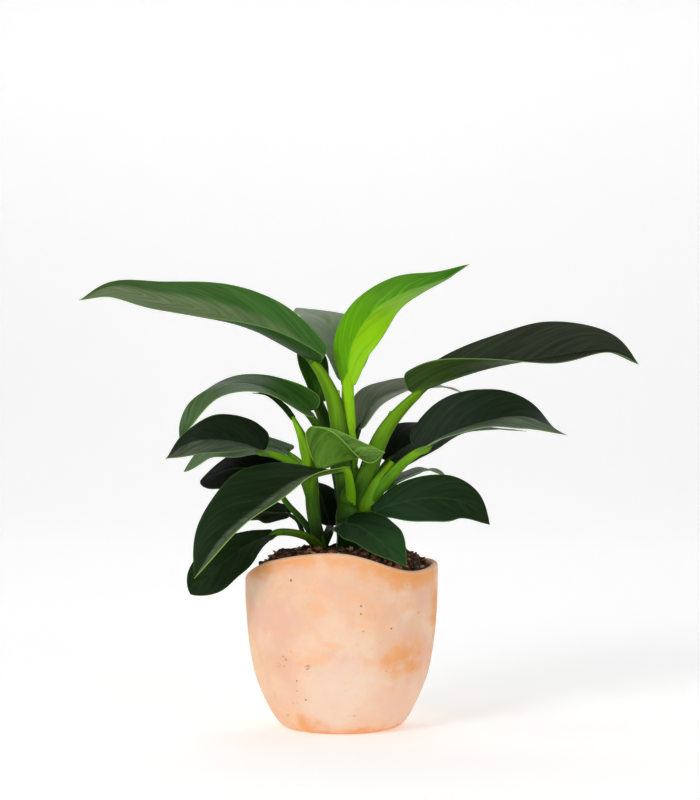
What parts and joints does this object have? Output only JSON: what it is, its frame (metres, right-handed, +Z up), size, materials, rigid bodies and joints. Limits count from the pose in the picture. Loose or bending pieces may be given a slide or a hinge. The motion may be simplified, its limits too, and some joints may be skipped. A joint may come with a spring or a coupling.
{
  "type": "potted green princess philodendron",
  "caption": "Young broad-leaved philodendron with upright shoots of long glossy green leaves, growing from bark mix in a rounded terracotta pot with a wavy rim.",
  "frame": {"origin": "middle of the flat underside of the pot, on the surface it stands on", "axes": "+Z up along the pot's axis, +X to the right and +Y away from someone who looks at the pictured side"},
  "size_m": [0.3765, 0.1776, 0.3156],
  "materials": {
    "terracotta": "matte, unglazed",
    "bark_mix": "matte, loose and coarse",
    "stalk": "satin",
    "new_leaf": "satin",
    "green_leaf": "satin",
    "dark_leaf": "glossy",
    "black_leaf": "glossy",
    "grey_leaf": "satin",
    "dry_tip": "matte"
  },
  "bodies": {
    "root": {"pot": "terracotta", "soil": "bark_mix", "stem_main": "stalk", "stem_left": "stalk", "blade_upper_left": "green_leaf", "blade_back_upper": "grey_leaf", "blade_newest": "new_leaf", "blade_upper_right": "dark_leaf", "blade_arched_left": "green_leaf", "blade_oval_left": "dark_leaf", "blade_pale_left": "grey_leaf", "blade_black_left": "black_leaf", "blade_front_left": "dark_leaf", "blade_low_left": "dark_leaf", "blade_small_left": "black_leaf", "blade_front_middle": "green_leaf", "blade_behind_right": "grey_leaf", "blade_right": "dark_leaf", "blade_under_right": "black_leaf", "blade_low_right": "dark_leaf", "blade_over_rim": "dark_leaf", "blade_thin_right": "grey_leaf", "blade_narrow_back": "green_leaf", "blade_low_back": "black_leaf", "sheath_tip": "dry_tip"}
  },
  "joints": []
}
